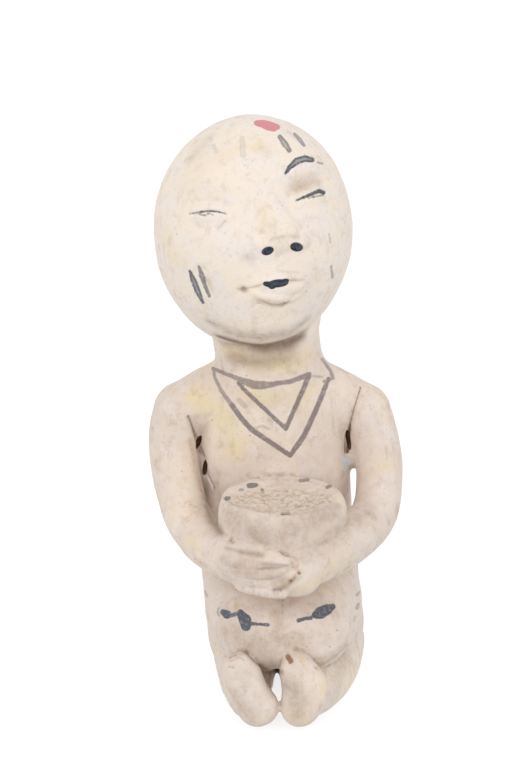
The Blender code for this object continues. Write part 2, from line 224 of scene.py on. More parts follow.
# Painted strokes: strength, and the places as pixel across, pixel down and half width in pixels.
NECKLACE = [
    (0.85, [(213, 368.5, 1.5), (226, 374, 1.6), (238, 378.5, 2), (254, 383, 2.2), (270, 384, 2)]),
    (0.9, [(270, 384, 2), (290, 381.8, 2), (309, 374.5, 2.4)]),
    (0.85, [(243, 382, 2), (254, 385.5, 3.4), (264, 386, 2.8), (278, 384.5, 1.2)]),
    (1.0, [(238.5, 383, 1.6), (243, 388.5, 1.6), (254, 399, 1.8), (270, 414, 1.7), (286, 429, 1.8)]),
    (1.0, [(286, 429, 1.8), (294, 410, 2), (303, 390, 2.1), (309, 375, 2.1)]),
    (0.75, [(213.5, 369, 1.3), (215, 378, 1.3), (222, 392, 1.6), (231, 404, 2)]),
    (1.0, [(231, 404, 2.2), (241, 418, 2.3), (252, 430, 2.3), (270, 442, 2), (290, 455.5, 2.1)]),
    (1.0, [(290, 455.5, 2.2), (304, 436, 2.4), (316, 410, 2.3), (324, 390, 2.1), (328.5, 379, 1.8)]),
    (0.75, [(324, 381.5, 1.2), (333, 378, 1.5), (330, 370, 1.3), (322, 359, 1.2)]),
    (0.45, [(311, 376, 1), (322, 377, 1)]),
    (0.35, [(239, 400, 2.2), (245, 406, 2.4)]),
    (0.35, [(256, 428, 1.4), (262, 426, 1), (269, 429, 1.2)]),
]
GREY_MARKS = [
    # Brow and the dashes over it.
    (1.0, [(285, 174, 1), (290, 167, 2.4), (297, 161, 3.4), (305, 158.6, 3.2), (312, 159.8, 2.4)]),
    (0.55, [(318, 162.5, 1.2), (322, 163.8, 0.9)]),
    (0.75, [(279.5, 136.6, 2), (285, 144, 3.1), (289.5, 150.6, 2)]),
    (0.65, [(294.6, 134, 1.2), (300, 140, 2.1), (304, 145.4, 1.4)]),
    (0.16, [(242, 138, 2.6), (243, 155, 3)]),
    (0.16, [(214, 146, 2), (216, 151, 2.2)]),
    # Eyes.
    (0.9, [(193, 213.4, 0.5), (200, 212, 0.8), (208, 211, 0.9), (217, 211.4, 0.8), (225, 213.4, 0.4)]),
    (0.75, [(199, 214.4, 0.6), (205, 215.4, 0.9), (210, 213.4, 0.8), (213, 215, 0.5)]),
    (1.0, [(297.6, 199.8, 0.9), (305, 196.8, 1.4), (313, 193.4, 1.6)]),
    (1.0, [(313, 193.4, 1.6), (319, 190.8, 2), (323.6, 192.8, 1.9)]),
    (0.8, [(309, 198, 0.6), (316, 196.4, 0.9), (323, 195, 0.7)]),
    # Cheeks.
    (0.95, [(189.6, 271, 1.2), (193.4, 280, 2.8), (197.6, 291, 2.8), (203, 302.6, 1.2)]),
    (0.8, [(198.8, 266.6, 1.2), (202, 276, 2.5), (204.4, 284, 1.9), (209.4, 296, 1.4)]),
    (0.35, [(329, 234, 0.7), (330.5, 243, 0.9)]),
    (0.55, [(331, 266, 1), (332.5, 277, 1.3)]),
    # Bowl rim.
    (0.8, [(226.5, 498.6, 2), (229, 498, 1.6)]),
    (0.8, [(249, 485.6, 2.4), (256, 485, 2.2)]),
    (0.5, [(240, 490, 1.4), (243, 489.4, 1)]),
    (0.75, [(262, 489.6, 1.4), (263, 492, 1.3)]),
    (0.65, [(300.5, 480.6, 1.8), (308, 479.6, 1.6)]),
    (0.7, [(327, 487.6, 1.6), (331, 485.4, 1.2)]),
    (0.65, [(319, 503.2, 1.2), (323, 502, 1.2)]),
    (0.85, [(282, 514, 1.4), (289, 513, 1.6)]),
    # Lap.
    (1.0, [(223, 612, 2.6), (227, 614.5, 4.2)]),
    (0.45, [(218.6, 608, 0.8), (217.4, 612, 1), (219, 616, 0.8)]),
    (0.9, [(230, 616, 1.8), (237, 613.5, 1.8)]),
    (1.0, [(240, 613, 3.4), (245, 620, 6), (246, 626.5, 4.6)]),
    (0.95, [(250, 623.6, 1.8), (260, 624.2, 1.3), (268, 625, 1.6)]),
    (1.0, [(315.5, 615, 3.6), (321, 612.5, 6.2), (327, 609.5, 5.2), (333, 606.5, 2.4)]),
    (0.95, [(298.5, 620.4, 2), (304, 618.8, 1.5), (311, 618, 1.8)]),
    (0.4, [(205, 591, 0.9), (207, 596, 1.2)]),
    (0.4, [(357, 595, 1.4), (359.5, 592, 1)]),
    (0.45, [(357, 608, 1.8), (358.5, 604, 1.4)]),
    (0.2, [(355, 617, 1.4), (354, 621, 1)]),
]
RED_MARKS = [
    (1.0, [
        (256.6, 123.2, 2.8), (262, 123.6, 3.9), (268, 125.6, 4.8), (273.5, 127.2, 4.4), (277.4, 127, 2.6),
    ]),
]
# Soft stains, and soft painted shade under the chin, jaw and lips, between the arms and the trunk and along
# the lap: strength, and the places as pixel across, pixel down and half width in pixels.
YELLOW_WASH = [
    (1.0, [(228, 352, 9), (255, 362, 12), (285, 362, 12), (305, 358, 10)]),
    (1.0, [(194, 395, 12), (212, 408, 16), (230, 428, 16), (234, 450, 12)]),
    (0.7, [(240, 392, 9), (262, 396, 10), (300, 400, 12), (312, 388, 8)]),
    (0.5, [(190, 180, 16), (200, 160, 12), (232, 150, 10), (258, 145, 8)]),
    (0.4, [(165, 235, 12), (172, 255, 12), (185, 265, 8)]),
    (0.35, [(262, 205, 10), (268, 225, 10), (285, 232, 8)]),
    (0.5, [(190, 540, 8), (200, 552, 8)]),
    (0.6, [(300, 590, 6), (318, 580, 7), (335, 568, 7)]),
    (0.55, [(375, 470, 8), (392, 466, 6)]),
    (0.6, [(318, 672, 4), (323, 684, 4), (322, 695, 4)]),
    (0.7, [(300, 656, 4), (304, 660, 3)]),
    (0.6, [(296, 712, 6), (306, 722, 5)]),
    (0.6, [(216, 640, 5), (219, 652, 5)]),
    (0.35, [(262, 312, 12), (270, 322, 12)]),
]
# Brown stains, and painted shade under the chin, nose and lower lip and between the fingers.
BROWN_STAIN_AND_SHADE = [
    (0.5, [(196, 560, 4), (206, 566, 3)]),
    (0.5, [(243, 554, 4), (262, 555, 4)]),
    (0.45, [(233, 571, 3), (250, 574, 3)]),
    (0.7, [(285, 588, 3), (292, 581, 3), (299, 573, 3.4), (291, 562, 2)]),
    (0.4, [(232, 657, 4), (240, 656, 3)]),
    (0.4, [(272, 239, 2), (286, 236, 2), (299, 237, 2)]),
    (0.3, [(218, 228, 2), (225, 221, 2)]),
    (0.4, [(240, 289, 3), (245, 291, 2)]),
    (0.4, [(262, 300, 3), (284, 303, 3)]),
    (0.3, [(315, 268, 3), (318, 280, 3)]),
    (0.25, [(262, 148, 5), (268, 152, 5)]),
    (0.3, [(205, 308, 2), (209, 325, 2)]),
    (0.5, [(279, 640, 3), (284, 636, 2)]),
    (0.45, [(276, 612, 4), (279, 628, 5)]),
    (0.5, [(190, 440, 3), (196, 470, 4), (201, 490, 4)]),
    (0.75, [(222, 343, 5), (240, 346, 7), (262, 347, 8), (290, 345, 6)]),
    (0.3, [(236, 360, 7), (262, 362, 7)]),
    (0.4, [(206, 278, 3), (212, 290, 3)]),
    (0.3, [(245, 258, 4), (252, 264, 3)]),
    (0.35, [(271, 283, 5), (294, 279, 4)]),
    (0.4, [(246, 560, 4), (230, 568, 3)]),
    (0.35, [(296, 190, 4), (306, 182, 4)]),
]
# Darker patches of the clay, and painted shade under the jaw, on the neck, between the arms and the trunk,
# under the bowl's rim and in the right eye socket.
DUSKY_PATCHES_AND_SHADE = [
    (0.75, [(228, 515, 12), (250, 532, 16), (280, 536, 16), (310, 520, 16), (335, 508, 12)]),
    (0.6, [(228, 560, 10), (255, 572, 14), (285, 580, 10)]),
    (0.35, [(222, 606, 12), (258, 610, 14), (300, 608, 14), (338, 604, 12)]),
    (0.65, [(226, 632, 14), (262, 642, 16), (300, 640, 12)]),
    (0.7, [(210, 322, 6), (232, 333, 8), (262, 338, 9), (290, 333, 8), (306, 320, 6)]),
    (0.75, [(206, 500, 9), (212, 520, 10), (222, 532, 9)]),
    (0.5, [(195, 420, 6), (204, 455, 8), (210, 490, 8)]),
    (0.5, [(353, 410, 5), (350, 430, 6), (345, 455, 7)]),
    (0.45, [(232, 696, 10), (250, 714, 10)]),
    (0.75, [(288, 684, 10), (298, 700, 12), (296, 716, 10)]),
    (0.8, [(200, 596, 8), (204, 620, 8), (209, 646, 7)]),
    (0.6, [(234, 356, 10), (262, 360, 12), (292, 356, 10)]),
    (0.35, [(206, 140, 9), (190, 160, 7)]),
    (0.4, [(303, 187, 7), (316, 184, 7)]),
    (0.55, [(300, 556, 10), (322, 542, 12), (345, 525, 12), (372, 510, 8)]),
    (0.5, [(336, 690, 10), (346, 650, 10)]),
    (0.15, [(250, 446, 12), (300, 462, 12), (325, 450, 9)]),
]
# Painted shade: under the chin and lips, along the lap's lower edge, and in the creases of the hands, arms
# and bowl.
PAINTED_SHADE = [
    (1.0, [(220, 337, 6), (240, 343, 9), (264, 346, 10), (287, 343, 9), (302, 336, 6)]),
    (0.4, [(199, 450, 4), (203, 480, 4), (208, 500, 4)]),
    (0.4, [(222, 497, 1.4), (234, 505, 1.4), (257, 511, 1.5)]),
    (0.4, [(257, 511, 1.5), (275, 512, 1.5), (300, 508, 1.5), (326, 498, 1.4)]),
    (0.3, [(226, 489, 1.3), (244, 481.5, 1.2), (275, 478.5, 1.2), (310, 481.5, 1.2), (330, 488, 1.2)]),
    (0.3, [(228, 358, 6), (256, 362, 8), (286, 358, 6)]),
    (0.5, [(206, 506, 3), (212, 522, 4), (222, 534, 3)]),
    (0.45, [(226, 548, 2), (238, 551, 2.4), (262, 556, 2.4)]),
    (0.5, [(264, 301.5, 1.6), (272, 305, 2), (282, 305, 2), (289, 301, 1.4)]),
    (0.4, [(248, 291, 1.4), (243, 290, 1.6), (238, 289, 1.2)]),
    (0.8, [(245, 652, 2.4), (256, 663, 2.8), (270, 672, 3), (282, 672, 2.6)]),
    (0.4, [(318, 667, 2), (335, 657, 2.2), (347, 645, 2.2)]),
    (0.4, [(262, 563.5, 1.6), (286, 565.5, 2)]),
    (0.45, [(274, 590, 2.4), (286, 586, 2.2), (294, 578, 2)]),
    (0.35, [(304, 279.5, 1.4), (298, 280, 1.2), (286, 281, 1.2)]),
    (0.3, [(247, 256, 2), (254, 260, 1.8)]),
]
# Bare clay, plaster and the painted shadow in the gap by the right arm have edges, as painted strokes do.
BARE_CLAY = [
    (0.9, [(288, 657, 2.6), (290.5, 661, 2.8)]),
    (0.6, [(291, 581, 1), (291.5, 581.5, 1)]),
    (0.6, [(299, 573, 1.3), (299.5, 573.5, 1.3)]),
    (0.7, [(197, 436, 0.8), (198.5, 441, 1.6), (200, 448, 0.8)]),
    (0.7, [(204, 462, 0.8), (205, 467, 1.4), (206.5, 474, 0.8)]),
    (0.5, [(203, 280, 0.8), (204.5, 283, 0.8)]),
    (0.5, [(230, 658, 0.9), (236, 655, 0.9)]),
    (0.6, [(329.5, 646.5, 0.8), (330, 647, 0.8)]),
    (0.6, [(337, 630, 0.7), (337.5, 630.4, 0.7)]),
    (0.4, [(288.5, 641, 0.7), (289, 641.4, 0.7)]),
]
PLASTER = [
    (0.9, [(342, 458, 2), (347, 462, 4), (345, 468, 3.2)]),
    (0.6, [(208, 478, 1.4), (212, 485, 1.4)]),
    (0.5, [(209, 572, 1.2), (211, 574, 1.4)]),
    (0.6, [(232, 594.5, 1), (236, 595, 1.3), (241, 594, 1)]),
    (0.45, [(357, 548, 1.4), (359, 556, 1.4)]),
]
# Painted shadow in the gap between the right arm and the trunk.
GAP_SHADOW = [
    (1.0, [(350, 424, 1), (348.5, 438, 1.8), (347.5, 452, 1.6)]),
]
# Pixels between the places that a stroke is traced through.
STROKE_STEP = 1.2
# How far from a stroke its edge is still measured, and what stands for further.
EDGE_REACH = 4.0
FAR = 9.0
# Soft stains and patches of painted shade reach this many times their half width.
STAIN_REACH = 2.5
# The skin keeps its full fineness this close to a painted edge.
FINE_MARGIN = 1.0

# The rough clay in the bowl: half sizes, how far off the middle, how sharp its edge is, and how deep.
ROUGH_HALF = (14.6, 10.4)
ROUGH_OFFSET = (0.3, -3.2)
ROUGH_EDGE = 8.0
ROUGH_REACH = 3.5
# Lumps of the hand-pinched skin, then of the rough clay: size and how far they stand out.
SKIN_LUMPS = [(11.0, 0.3), (3.2, 0.09)]
ROUGH_LUMPS = [(2.2, 0.7), (1.1, 0.6)]
ROUGH_DEPTH = 0.15
# The lumps die out this far above the floor.
LEVEL_BAND = 4.0
# Fineness of the shapes that open the face and the armpits.
OPENING_GRAIN = 0.2
# Grime and painted shade gather in hollows this narrow, and less of them in hollows this wide.
NARROW_HOLLOW = 1.2
WIDE_HOLLOW = 3.5


def blob(clay, centre, radii, turn=(0, 0, 0), sides=48):
    """An ellipsoid, turned by degrees about X, Y and Z."""
    ball = bmesh.new()
    bmesh.ops.create_uvsphere(ball, u_segments=sides, v_segments=sides // 2, radius=1)
    rotation = Euler([math.radians(angle) for angle in turn])
    ball.transform(Matrix.LocRotScale(Vector(centre), rotation, Vector(radii)))
    add_to(clay, ball)


def add_to(clay, shape):
    mesh = bpy.data.meshes.new("shape")
    shape.to_mesh(mesh)
    shape.free()
    clay.from_mesh(mesh)
    bpy.data.meshes.remove(mesh)


def evaluated(holder):
    """The mesh that the object shows, its modifiers included. The object is removed."""
    bpy.context.scene.collection.objects.link(holder)
    bpy.context.view_layer.update()
    graph = bpy.context.evaluated_depsgraph_get()
    mesh = bpy.data.meshes.new_from_object(holder.evaluated_get(graph))
    bpy.data.objects.remove(holder, do_unlink=True)
    return mesh


def curve_shape(curve):
    """The solid that a curve with thickness makes. The curve is removed."""
    mesh = evaluated(bpy.data.objects.new(curve.name, curve))
    bpy.data.curves.remove(curve)
    shape = bmesh.new()
    shape.from_mesh(mesh)
    bpy.data.meshes.remove(mesh)
    return shape


def limb(clay, points, flatness=1.0):
    """A smooth tube through points of (x, y, z, radius), with rounded ends, flatter front to back."""
    curve = bpy.data.curves.new("tube", "CURVE")
    curve.dimensions = "3D"
    curve.bevel_depth = 1.0
    curve.bevel_resolution = 8
    curve.use_fill_caps = True
    curve.resolution_u = 12
    spline = curve.splines.new("NURBS")
    spline.points.add(len(points) - 1)
    for control, (x, y, z, radius) in zip(spline.points, points):
        control.co = (x, y, z, 1)
        control.radius = radius
    spline.order_u = min(4, len(points))
    spline.use_endpoint_u = True
    tube = curve_shape(curve)
    middle = Matrix.Translation((0, points[0][1], 0))
    tube.transform(middle @ Matrix.Diagonal((1, flatness, 1, 1)) @ middle.inverted())
    add_to(clay, tube)
    for x, y, z, radius in (points[0], points[-1]):
        blob(clay, (x, y, z), (radius, radius * flatness, radius))


def worked(mesh, kind, weights=None, **settings):
    """The mesh after one modifier, weighed point by point if weights are given."""
    holder = bpy.data.objects.new("worked", mesh)
    modifier = holder.modifiers.new(kind, kind)
    for name, value in settings.items():
        setattr(modifier, name, value)
    if weights is not None:
        group = holder.vertex_groups.new(name="weight")
        for index, weight in enumerate(weights):
            group.add([index], weight, "REPLACE")
        modifier.vertex_group = group.name
    result = evaluated(holder)
    bpy.data.meshes.remove(mesh)
    return result


def points_of(mesh):
    points = np.empty(len(mesh.vertices) * 3, np.float32)
    mesh.vertices.foreach_get("co", points)
    return points.reshape(-1, 3).astype(float)


def move_points(mesh, points):
    mesh.vertices.foreach_set("co", points.astype(np.float32).ravel())
    mesh.update()


def normals_of(mesh):
    normals = np.empty(len(mesh.vertices) * 3, np.float32)
    mesh.vertex_normals.foreach_get("vector", normals)
    return normals.reshape(-1, 3).astype(float)


def on_face(across, up, out=0.0):
    """The point of the head seen at this place of the leaning face plane, moved out along the normal."""
    radii = np.array(HEAD_RADII)
    start = np.array([across, up * math.sin(FACE_LEAN), up * math.cos(FACE_LEAN)])
    inward = np.array([0.0, math.cos(FACE_LEAN), -math.sin(FACE_LEAN)])
    a = ((inward / radii) ** 2).sum()
    b = 2 * (start * inward / radii**2).sum()
    c = ((start / radii) ** 2).sum() - 1
    reach = (-b - math.sqrt(max(b * b - 4 * a * c, 0.0))) / (2 * a)
    point = start + reach * inward
    normal = point / radii**2
    normal /= np.linalg.norm(normal)
    return tuple(np.array(HEAD_CENTRE) + point + out * normal)


def shape_head(clay):
    blob(clay, HEAD_CENTRE, HEAD_RADII, sides=96)
    # Nose: bridge, tip and wings.
    ridge = [(*on_face(1.8, 11.0, -6.6), 6.2), (*on_face(5.0, 4.6, -5.0), 6.3)]
    ridge += [(*on_face(8.3, -1.8, -2.4), 5.3)]
    limb(clay, ridge)
    blob(clay, on_face(3.2, -4.4, -2.5), (5.0, 4.1, 3.7))
    blob(clay, on_face(12.4, -3.0, -2.3), (4.2, 4.0, 3.7))
    # Lips on a low swelling.
    blob(clay, on_face(6.4, -15.6, -1.9), (7.8, 2.9, 3.8))
    upper = [(*on_face(-1.8, -16.0, -0.9), 0.8), (*on_face(2.6, -14.0, 0.2), 1.0)]
    upper += [(*on_face(7.6, -12.8, 0.5), 1.15)]
    upper += [(*on_face(12.0, -13.0, 0.2), 1.0), (*on_face(14.0, -14.4, -0.9), 0.8)]
    limb(clay, upper)
    lower = [(*on_face(-0.8, -16.8, -0.9), 0.9), (*on_face(3.4, -18.0, 0.2), 1.6)]
    lower += [(*on_face(8.0, -18.4, 0.5), 1.9)]
    lower += [(*on_face(12.0, -17.6, 0.2), 1.6), (*on_face(13.9, -16.0, -0.9), 0.9)]
    limb(clay, lower)


def shape_body(clay):
    # Neck.
    neck = [(-4.8, 1.0, 114.0, 17.4), (-3.0, 1.6, 105.0, 15.2)]
    neck += [(-2.6, 2.8, 97.0, 14.0), (-1.4, 3.0, 88.0, 16.0)]
    limb(clay, neck)
    blob(clay, (-0.6, 1.0, 106.5), (13.2, 12.5, 9.0))
    # Shoulders.
    left = [(-23.6, 1.5, 79.6, 8.4), (-14.0, 2.0, 84.8, 9.4), (-1.0, 2.0, 87.0, 11.0)]
    right = [(11.5, 2.0, 84.4, 9.2), (21.0, 1.5, 79.6, 8.2)]
    limb(clay, left + right)
    # Chest, waist and belly.
    trunk = [(2.4, 2.0, 12.0, 22.2), (1.6, 2.0, 24.0, 22.7), (0.4, 2.0, 38.0, 22.4)]
    trunk += [(-0.5, 2.0, 52.0, 21.6), (-0.7, 2.0, 66.0, 21.9), (-0.9, 2.0, 79.0, 21.9)]
    trunk += [(-1.3, 2.0, 90.0, 19.5), (-2.0, 2.0, 97.0, 9.0)]
    limb(clay, trunk, TRUNK_FLATNESS)
    blob(clay, (1.0, -10.0, 39.0), (17.0, 17.0, 13.0))
    blob(clay, (21.6, 1.0, 68.5), (3.4, 4.5, 7.5))


def shape_lap(clay):
    # The thighs are pressed into one rounded mass.
    blob(clay, (-4.6, -10.0, 25.0), (15.8, 30.0, 17.6))
    blob(clay, (8.2, -10.0, 25.0), (16.2, 30.0, 17.6))
    blob(clay, (2.0, -11.0, 24.5), (13.0, 29.4, 16.2))
    # Seat.
    blob(clay, (3.2, 2.0, 14.0), (22.0, 21.0, 24.0))
    blob(clay, (1.6, 4.0, 30.0), (21.4, 17.5, 26.0))
    # Legs along the floor.
    left = [(-8.0, 6.0, 6.0, 10.4), (-8.6, -12.0, 6.0, 9.2)]
    left += [(-8.4, -28.0, 6.5, 7.4), (-7.6, -38.0, 7.0, 5.6)]
    limb(clay, left)
    right = [(13.4, 6.0, 6.0, 12.2), (13.8, -8.0, 6.0, 11.2)]
    right += [(12.4, -22.0, 6.0, 9.8), (8.2, -38.0, 7.0, 5.8)]
    limb(clay, right)


def shape_feet(clay):
    """Each foot is a thick sole with rounded edges, standing upright."""
    for outline in (LEFT_SOLE, RIGHT_SOLE):
        curve = bpy.data.curves.new("sole", "CURVE")
        curve.dimensions = "2D"
        curve.fill_mode = "BOTH"
        curve.extrude = FOOT_THICKNESS / 2 - SOLE_EDGE
        curve.bevel_depth = SOLE_EDGE
        curve.bevel_resolution = 4
        curve.offset = -SOLE_EDGE
        spline = curve.splines.new("BEZIER")
        spline.bezier_points.add(len(outline) - 1)
        spline.use_cyclic_u = True
        for point, (x, z) in zip(spline.bezier_points, outline):
            point.co = (x, z, 0)
            point.handle_left_type = "AUTO"
            point.handle_right_type = "AUTO"
        foot = curve_shape(curve)
        bmesh.ops.remove_doubles(foot, verts=foot.verts, dist=SAME_POINT)
        stood_up = Matrix.Rotation(math.pi / 2 + FOOT_LEAN, 4, "X")
        foot.transform(Matrix.Translation((0, SOLE_FRONT + FOOT_THICKNESS / 2, 0)) @ stood_up)
        add_to(clay, foot)


def shape_bowl(clay):
    """Half a section of the bowl, turned about its axis and then flattened a little front to back."""
    x, y, top = BOWL_CENTRE
    half = BOWL_WIDTH / 2
    profile = [
        (0.0, -BOWL_HEIGHT),
        (half * 0.45, -BOWL_HEIGHT),
        (half * 0.70, -BOWL_HEIGHT * 0.84),
        (half * 0.89, -BOWL_HEIGHT * 0.58),
        (half * 0.985, -BOWL_HEIGHT * 0.38),
        (half, -BOWL_HEIGHT * 0.26),
        (half * 0.99, -BOWL_HEIGHT * 0.15),
        (half * 0.955, -BOWL_HEIGHT * 0.06),
        (half * 0.92, -BOWL_HEIGHT * 0.01),
        (half - RIM_WIDTH, 0.0),
        (half * 0.6, -DISH_DEPTH * 0.8),
        (0.0, -DISH_DEPTH),
    ]
    bowl = bmesh.new()
    line = [bowl.verts.new((radius, 0, z)) for radius, z in profile]
    edges = [bowl.edges.new(pair) for pair in zip(line, line[1:])]
    bmesh.ops.spin(bowl, geom=line + edges, axis=(0, 0, 1), cent=(0, 0, 0), angle=math.tau, steps=72)
    bmesh.ops.remove_doubles(bowl, verts=bowl.verts, dist=SAME_POINT)
    bowl.transform(Matrix.Translation((x, y, top)) @ Matrix.Diagonal((1, BOWL_DEPTH / BOWL_WIDTH, 1, 1)))
    add_to(clay, bowl)


def shape_arms(clay):
    left = [(-26.4, 1.0, 78.6, 8.4), (-29.7, 0.0, 71.5, 7.2), (-28.3, -3.5, 62.0, 7.0)]
    left += [(-26.6, -9.0, 54.0, 6.8), (-23.8, -17.0, 49.8, 6.7), (-17.4, -29.0, 47.8, 6.6)]
    left += [(-10.5, -38.4, 49.0, 6.8)]
    limb(clay, left)
    right = [(24.2, 1.0, 78.0, 8.3), (28.0, 0.0, 71.5, 7.1), (29.4, -3.0, 62.5, 6.5)]
    right += [(28.8, -8.0, 54.5, 6.5), (27.0, -14.0, 50.8, 6.6), (20.4, -25.0, 50.0, 7.4)]
    right += [(13.4, -34.0, 49.8, 8.0), (7.0, -39.6, 48.4, 7.2)]
    limb(clay, right)


def shape_hands(clay):
    # The hand from the right side of the view lies underneath.
    blob(clay, (3.6, -42.6, 46.4), (8.6, 4.4, 6.2), (0, 10, 0))
    # The other hand lies over it, with the fingers pressed side by side.
    blob(clay, (-6.6, -41.4, 48.4), (7.4, 5.2, 6.8))
    for start, end, reach in FINGERS:
        middle = (start + end) / 2
        limb(clay, [(-10.0, -41.8, start, 1.9), (-4.0, -45.8, middle, 2.05), (reach, -46.3, end, 1.65)])
    # Thumb, bent down at the tip.
    thumb = [(-11.6, -40.4, 53.4, 1.9), (-6.4, -43.2, 55.2, 1.9), (-2.2, -44.8, 54.8, 1.8)]
    thumb += [(0.6, -46.0, 52.6, 1.4)]
    limb(clay, thumb)


def eased(values, start, end):
    """0 up to the start, rising to 1 at the end."""
    return np.clip((values - start) / (end - start), 0, 1)


def broadness(points):
    """1 on the plain broad parts and the back, falling to 0 on the face, hands, bowl and feet."""
    y, z = points[:, 1], points[:, 2]
    head = eased(y, FACE_BACK, PLAIN_BACK)
    lap = np.minimum(eased(y, LAP_FRONT, 0.0), LAP_SHARE)
    trunk = np.maximum(lap, eased(y, BELLY_BACK, PLAIN_BACK)) * eased(z, *FLOOR_BAND)
    from_bowl = np.linalg.norm(points - np.array(BOWL_CENTRE) + BOWL_MIDDLE, axis=1)
    trunk = np.where(from_bowl < BOWL_WIDTH / 2 + BOWL_MARGIN, 0.0, trunk)
    return np.where(y > PLAIN_BACK, 1.0, np.where(z > HEAD_BOTTOM, head, trunk))


def nearness(points, centre, reach):
    """1 close to the centre, falling to 0 at the reach."""
    return np.clip(2 - 2 * np.linalg.norm(points - np.array(centre), axis=1) / reach, 0, 1)


def passes_for(spread):
    """Passes of half-strength smoothing that even out the skin over this distance."""
    return max(1, round(2 * (spread / GRAIN) ** 2))


def fused_skin():
    """One skin round all the shapes, with the joints worked smooth."""
    clay = bmesh.new()
    for shape in (shape_head, shape_body, shape_lap, shape_feet, shape_bowl, shape_arms, shape_hands):
        shape(clay)
    bmesh.ops.recalc_face_normals(clay, faces=clay.faces)
    mesh = bpy.data.meshes.new("clay")
    clay.to_mesh(mesh)
    clay.free()
    mesh = worked(mesh, "REMESH", mode="VOXEL", voxel_size=GRAIN)
    weights = broadness(points_of(mesh))
    mesh = worked(mesh, "SMOOTH", weights, factor=0.5, iterations=passes_for(BROAD_SPREAD))
    points = points_of(mesh)
    at_nose = nearness(points, on_face(*NOSE_PLACE), NOSE_REACH)
    weights = np.maximum(at_nose, nearness(points, HAND_PLACE, HAND_REACH))
    mesh = worked(mesh, "SMOOTH", weights, factor=0.5, iterations=passes_for(SOFT_SPREAD))
    return worked(mesh, "SMOOTH", factor=0.5, iterations=passes_for(FINE_SPREAD))


def work_face(skin):
    """Raises and presses the soft forms of the face along the surface of the head."""
    points = points_of(skin)
    from_centre = points - np.array(HEAD_CENTRE)
    up_axis = np.array([0.0, math.sin(FACE_LEAN), math.cos(FACE_LEAN)])
    front_axis = np.array([0.0, -math.cos(FACE_LEAN), math.sin(FACE_LEAN)])
    across, up, front = from_centre[:, 0], from_centre @ up_axis, from_centre @ front_axis
    outward = from_centre / np.array(HEAD_RADII) ** 2
    outward /= np.linalg.norm(outward, axis=1, keepdims=True)
    on_front = np.clip(front / 6.0, 0.0, 1.0)
    for x, y, width, height, turn, lift in FACE_RELIEF:
        angle = math.radians(turn)
        along = ((across - x) * math.cos(angle) + (up - y) * math.sin(angle)) / width
        beside = ((up - y) * math.cos(angle) - (across - x) * math.sin(angle)) / height
        strength = lift * on_front * np.exp(-(along**2 + beside**2))
        points += outward * strength[:, None]
    move_points(skin, points)


def tree_of(mesh):
    return BVHTree.FromPolygons([v.co for v in mesh.vertices], [p.vertices for p in mesh.polygons])


def seen_at(tree, across, down):
    """The point of the skin behind a pixel of the photograph."""
    eye = Vector(CAMERA_TARGET) - Vector(FORWARD) * CAMERA_DISTANCE
    ray = Vector(FORWARD) + Vector((1, 0, 0)) * ((across - PHOTO_SIZE[0] / 2) / FOCAL)
    ray += Vector(UPWARD) * ((PHOTO_SIZE[1] / 2 - down) / FOCAL)
    return tree.ray_cast(eye, ray.normalized())[0]


def traced(tree, stroke):
    """Places on the skin along a stroke through pixels, and the stroke's half width at each."""
    found = []
    for start, end in zip(stroke, stroke[1:]):
        steps = max(1, math.ceil(math.dist(start[:2], end[:2]) / STROKE_STEP))
        for step in range(steps + (end is stroke[-1])):
            part = step / steps
            across, down, width = (a + (b - a) * part for a, b in zip(start, end))
            place = seen_at(tree, across, down)
            if place:
                found.append((*place, width))
    found = np.array(found).reshape(-1, 4)
    return found[:, :3], found[:, 3]


def in_photo(points):
    """Where each point shows in the photograph, across and down in pixels."""
    from_target = points - np.array(CAMERA_TARGET)
    reach = (CAMERA_DISTANCE + from_target @ np.array(FORWARD)) / FOCAL
    across = PHOTO_SIZE[0] / 2 + from_target[:, 0] / reach
    return np.column_stack([across, PHOTO_SIZE[1] / 2 - from_target @ np.array(UPWARD) / reach])


def close_by(points, spots, reach):
    """Which points lie within reach of the box round the spots."""
    return np.flatnonzero(((points > spots.min(0) - reach) & (points < spots.max(0) + reach)).all(1))


def edge_distance(points, tree, strokes):
    """How far each point shows from the nearest stroke's edge, below 0 inside it, and its strength."""
    distance = np.full(len(points), FAR)
    strength = np.zeros(len(points))
    shown = in_photo(points)
    for amount, stroke in strokes:
        spots, widths = traced(tree, stroke)
        if not len(spots):
            continue
        near = close_by(points, spots, widths.max() * PIXEL + EDGE_REACH)
        gaps = np.linalg.norm(shown[near, None] - in_photo(spots)[None], axis=2) - widths[None]
        closest = gaps.min(axis=1) * PIXEL
        nearer = closest < distance[near]
        distance[near[nearer]] = closest[nearer]
        strength[near[nearer]] = amount
    return distance, strength


def softness(points, tree, strokes):
    """How strongly soft stains and patches of painted shade cover each point, from 0 to 1."""
    cover = np.zeros(len(points))
    for amount, stroke in strokes:
        spots, widths = traced(tree, stroke)
        if not len(spots):
            continue
        widths = widths * PIXEL
        near = close_by(points, spots, STAIN_REACH * widths.max())
        gaps = np.linalg.norm(points[near, None] - spots[None], axis=2) / widths[None]
        cover[near] = np.maximum(cover[near], amount * np.exp(-gaps.min(axis=1) ** 2))
    return cover


def work_lines(skin):
    """Presses grooves and raises ridges along the lines seen in the photograph."""
    tree = tree_of(skin)
    points, normals = points_of(skin), normals_of(skin)
    lines = FACE_LINES + BODY_LINES + HAND_LINES + FOOT_LINES
    for (x, y), radius, width, lift in RINGS:
        turns = [math.tau * step / 24 for step in range(25)]
        lines.append((width, lift, [(x + radius * math.cos(t), y + radius * math.sin(t)) for t in turns]))
    shift = np.zeros(len(points))
    for width, lift, pixels in lines:
        stroke = [(across, down, width / PIXEL) for across, down in pixels]
        shift += lift * softness(points, tree, [(1.0, stroke)])
    move_points(skin, points + normals * shift[:, None])


